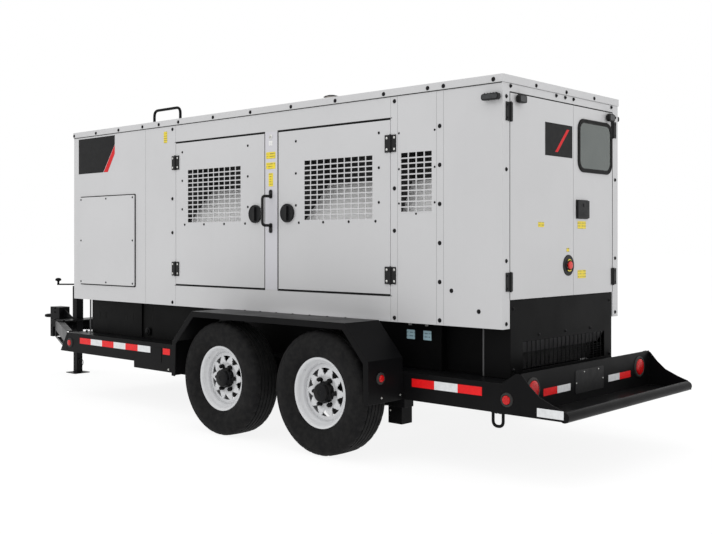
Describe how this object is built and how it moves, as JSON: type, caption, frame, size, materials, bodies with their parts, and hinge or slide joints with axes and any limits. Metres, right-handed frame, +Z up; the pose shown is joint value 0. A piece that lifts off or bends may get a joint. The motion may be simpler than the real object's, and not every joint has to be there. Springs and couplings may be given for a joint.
{
  "type": "towable diesel generator",
  "caption": "Sound-attenuated diesel generator in a grey sheet-metal canopy on a black tandem-axle trailer with A-frame tongue, jack, fenders and rear tray.",
  "frame": {"origin": "on the ground, under the middle of the object's length and width", "axes": "+X along the length towards the rear tray, +Y across towards the right-hand side, +Z up"},
  "size_m": [6.6599, 2.214, 2.455],
  "materials": {
    "canopy_paint": "light grey powder coat, satin",
    "frame_paint": "black gloss paint on steel",
    "tank_paint": "black satin paint on sheet steel",
    "tyre_rubber": "black tyre rubber, matt",
    "wheel_paint": "silver-white wheel paint, satin",
    "bare_steel": "galvanised or zinc-plated steel, lightly worn",
    "black_plastic": "black moulded nylon",
    "red_plastic": "red glossy button",
    "window_glass": "tinted safety glass in a black rubber frame",
    "engine_paint": "painted cast iron, satin",
    "alternator_paint": "dark grey paint, satin",
    "radiator_metal": "bare and painted aluminium fins",
    "exhaust_metal": "heat-stained aluminised steel",
    "cabinet_paint": "grey textured cabinet paint"
  },
  "bodies": {
    "root": {"side_wall_left": "canopy_paint", "side_wall_right": "canopy_paint", "front_wall": "canopy_paint", "rear_header": "canopy_paint", "roof": "canopy_paint", "rail_left": "frame_paint", "rail_right": "frame_paint", "deck_frame": "frame_paint", "tongue_left": "frame_paint", "tongue_right": "frame_paint", "coupler_post": "frame_paint", "jack_housing": "frame_paint", "fender_left": "frame_paint", "fender_right": "frame_paint", "rear_tray": "frame_paint", "tow_eye": "frame_paint", "lifting_bail_left": "frame_paint", "lifting_bail_right": "frame_paint", "fuel_tank": "tank_paint", "base_plate": "tank_paint", "rear_lower_panel": "tank_paint", "axle_beam_front": "bare_steel", "axle_beam_rear": "bare_steel", "grab_handle_left": "black_plastic", "grab_handle_right": "black_plastic", "engine": "engine_paint", "alternator": "alternator_paint", "radiator": "radiator_metal", "silencer": "exhaust_metal", "control_cabinet": "cabinet_paint"},
    "side_door_left_front": {"side_door_left_front": "canopy_paint"},
    "door_latch_left_front": {"door_latch_left_front": "black_plastic"},
    "side_door_left_rear": {"side_door_left_rear": "canopy_paint"},
    "door_latch_left_rear": {"door_latch_left_rear": "black_plastic"},
    "side_door_right_front": {"side_door_right_front": "canopy_paint"},
    "door_latch_right_front": {"door_latch_right_front": "black_plastic"},
    "side_door_right_rear": {"side_door_right_rear": "canopy_paint"},
    "door_latch_right_rear": {"door_latch_right_rear": "black_plastic"},
    "rear_door_left": {"rear_door_left": "canopy_paint"},
    "rear_door_right": {"rear_door_right": "canopy_paint", "rear_window": "window_glass"},
    "rear_latch": {"rear_latch": "black_plastic"},
    "emergency_stop": {"emergency_stop": "red_plastic"},
    "suspension_arm_left_front": {"suspension_arm_left_front": "frame_paint"},
    "wheel_left_front": {"wheel_left_front": "wheel_paint", "tyre_left_front": "tyre_rubber"},
    "suspension_arm_right_front": {"suspension_arm_right_front": "frame_paint"},
    "wheel_right_front": {"wheel_right_front": "wheel_paint", "tyre_right_front": "tyre_rubber"},
    "suspension_arm_left_rear": {"suspension_arm_left_rear": "frame_paint"},
    "wheel_left_rear": {"wheel_left_rear": "wheel_paint", "tyre_left_rear": "tyre_rubber"},
    "suspension_arm_right_rear": {"suspension_arm_right_rear": "frame_paint"},
    "wheel_right_rear": {"wheel_right_rear": "wheel_paint", "tyre_right_rear": "tyre_rubber"},
    "radiator_fan": {"radiator_fan": "black_plastic"},
    "jack_leg": {"jack_leg": "frame_paint"},
    "jack_crank": {"jack_crank": "frame_paint"},
    "rain_cap": {"rain_cap": "exhaust_metal"}
  },
  "joints": [
    {"name": "side_door_left_front_hinge", "type": "hinge", "parent": "root", "child": "side_door_left_front", "pos_m": [-0.2065, -0.701, 1.55], "axis": [0, 0, -1], "range_deg": [0, 120]},
    {"name": "door_latch_left_front_turn", "type": "hinge", "parent": "side_door_left_front", "child": "door_latch_left_front", "pos_m": [0.739, -0.6943, 1.53], "axis": [0, 1, 0], "range_deg": [0, 90]},
    {"name": "side_door_left_rear_hinge", "type": "hinge", "parent": "root", "child": "side_door_left_rear", "pos_m": [2.0115, -0.701, 1.55], "axis": [0, 0, 1], "range_deg": [0, 120]},
    {"name": "door_latch_left_rear_turn", "type": "hinge", "parent": "side_door_left_rear", "child": "door_latch_left_rear", "pos_m": [1.072, -0.6943, 1.53], "axis": [0, -1, 0], "range_deg": [0, 90]},
    {"name": "side_door_right_front_hinge", "type": "hinge", "parent": "root", "child": "side_door_right_front", "pos_m": [-0.2065, 0.701, 1.55], "axis": [0, 0, 1], "range_deg": [0, 120]},
    {"name": "door_latch_right_front_turn", "type": "hinge", "parent": "side_door_right_front", "child": "door_latch_right_front", "pos_m": [0.739, 0.6943, 1.53], "axis": [0, -1, 0], "range_deg": [0, 90]},
    {"name": "side_door_right_rear_hinge", "type": "hinge", "parent": "root", "child": "side_door_right_rear", "pos_m": [2.0115, 0.701, 1.55], "axis": [0, 0, -1], "range_deg": [0, 120]},
    {"name": "door_latch_right_rear_turn", "type": "hinge", "parent": "side_door_right_rear", "child": "door_latch_right_rear", "pos_m": [1.072, 0.6943, 1.53], "axis": [0, 1, 0], "range_deg": [0, 90]},
    {"name": "rear_door_left_hinge", "type": "hinge", "parent": "root", "child": "rear_door_left", "pos_m": [2.857, -0.6195, 1.55], "axis": [0, 0, -1], "range_deg": [0, 120]},
    {"name": "rear_door_right_hinge", "type": "hinge", "parent": "root", "child": "rear_door_right", "pos_m": [2.857, 0.6195, 1.55], "axis": [0, 0, 1], "range_deg": [0, 120]},
    {"name": "rear_latch_pull", "type": "hinge", "parent": "rear_door_right", "child": "rear_latch", "pos_m": [2.858, 0.2105, 1.592], "axis": [0, -1, 0], "range_deg": [0, 40], "stiffness_Nm_per_rad": 0.5, "springref_deg": -11.46},
    {"name": "emergency_stop_press", "type": "slide", "parent": "rear_door_left", "child": "emergency_stop", "axis": [-1, 0, 0], "range_m": [0, 0.008], "stiffness_N_per_m": 400, "springref_m": -0.004},
    {"name": "suspension_arm_left_front_swing", "type": "hinge", "parent": "root", "child": "suspension_arm_left_front", "pos_m": [0.677, -0.83, 0.266], "axis": [0, -1, 0], "range_deg": [-8, 12], "stiffness_Nm_per_rad": 6650, "springref_deg": -9.74},
    {"name": "wheel_left_front_roll", "type": "hinge", "parent": "suspension_arm_left_front", "child": "wheel_left_front", "pos_m": [0.792, -0.977, 0.391], "axis": [0, 1, 0], "continuous": true},
    {"name": "suspension_arm_right_front_swing", "type": "hinge", "parent": "root", "child": "suspension_arm_right_front", "pos_m": [0.677, 0.83, 0.266], "axis": [0, -1, 0], "range_deg": [-8, 12], "stiffness_Nm_per_rad": 6650, "springref_deg": -9.74},
    {"name": "wheel_right_front_roll", "type": "hinge", "parent": "suspension_arm_right_front", "child": "wheel_right_front", "pos_m": [0.792, 0.977, 0.391], "axis": [0, 1, 0], "continuous": true},
    {"name": "suspension_arm_left_rear_swing", "type": "hinge", "parent": "root", "child": "suspension_arm_left_rear", "pos_m": [1.629, -0.83, 0.266], "axis": [0, -1, 0], "range_deg": [-8, 12], "stiffness_Nm_per_rad": 6650, "springref_deg": -9.74},
    {"name": "wheel_left_rear_roll", "type": "hinge", "parent": "suspension_arm_left_rear", "child": "wheel_left_rear", "pos_m": [1.744, -0.977, 0.391], "axis": [0, 1, 0], "continuous": true},
    {"name": "suspension_arm_right_rear_swing", "type": "hinge", "parent": "root", "child": "suspension_arm_right_rear", "pos_m": [1.629, 0.83, 0.266], "axis": [0, -1, 0], "range_deg": [-8, 12], "stiffness_Nm_per_rad": 6650, "springref_deg": -9.74},
    {"name": "wheel_right_rear_roll", "type": "hinge", "parent": "suspension_arm_right_rear", "child": "wheel_right_rear", "pos_m": [1.744, 0.977, 0.391], "axis": [0, 1, 0], "continuous": true},
    {"name": "radiator_fan_spin", "type": "hinge", "parent": "root", "child": "radiator_fan", "pos_m": [-0.9, 0, 1.24], "axis": [1, 0, 0], "continuous": true},
    {"name": "jack_crank_turn", "type": "hinge", "parent": "root", "child": "jack_crank", "pos_m": [-2.75, 0, 0.88], "axis": [0, 0, 1], "range_deg": [0, 10800]},
    {"name": "jack_leg_lift", "type": "slide", "parent": "root", "child": "jack_leg", "axis": [0, 0, 1], "range_m": [0, 0.24]},
    {"name": "rain_cap_lift", "type": "hinge", "parent": "root", "child": "rain_cap", "pos_m": [0.76, 0, 2.4435], "axis": [0, -1, 0], "range_deg": [0, 75]}
  ],
  "couplings": [
    {"joint": "jack_crank_turn", "follows": "jack_leg_lift", "rad_per_m": 785.4}
  ]
}
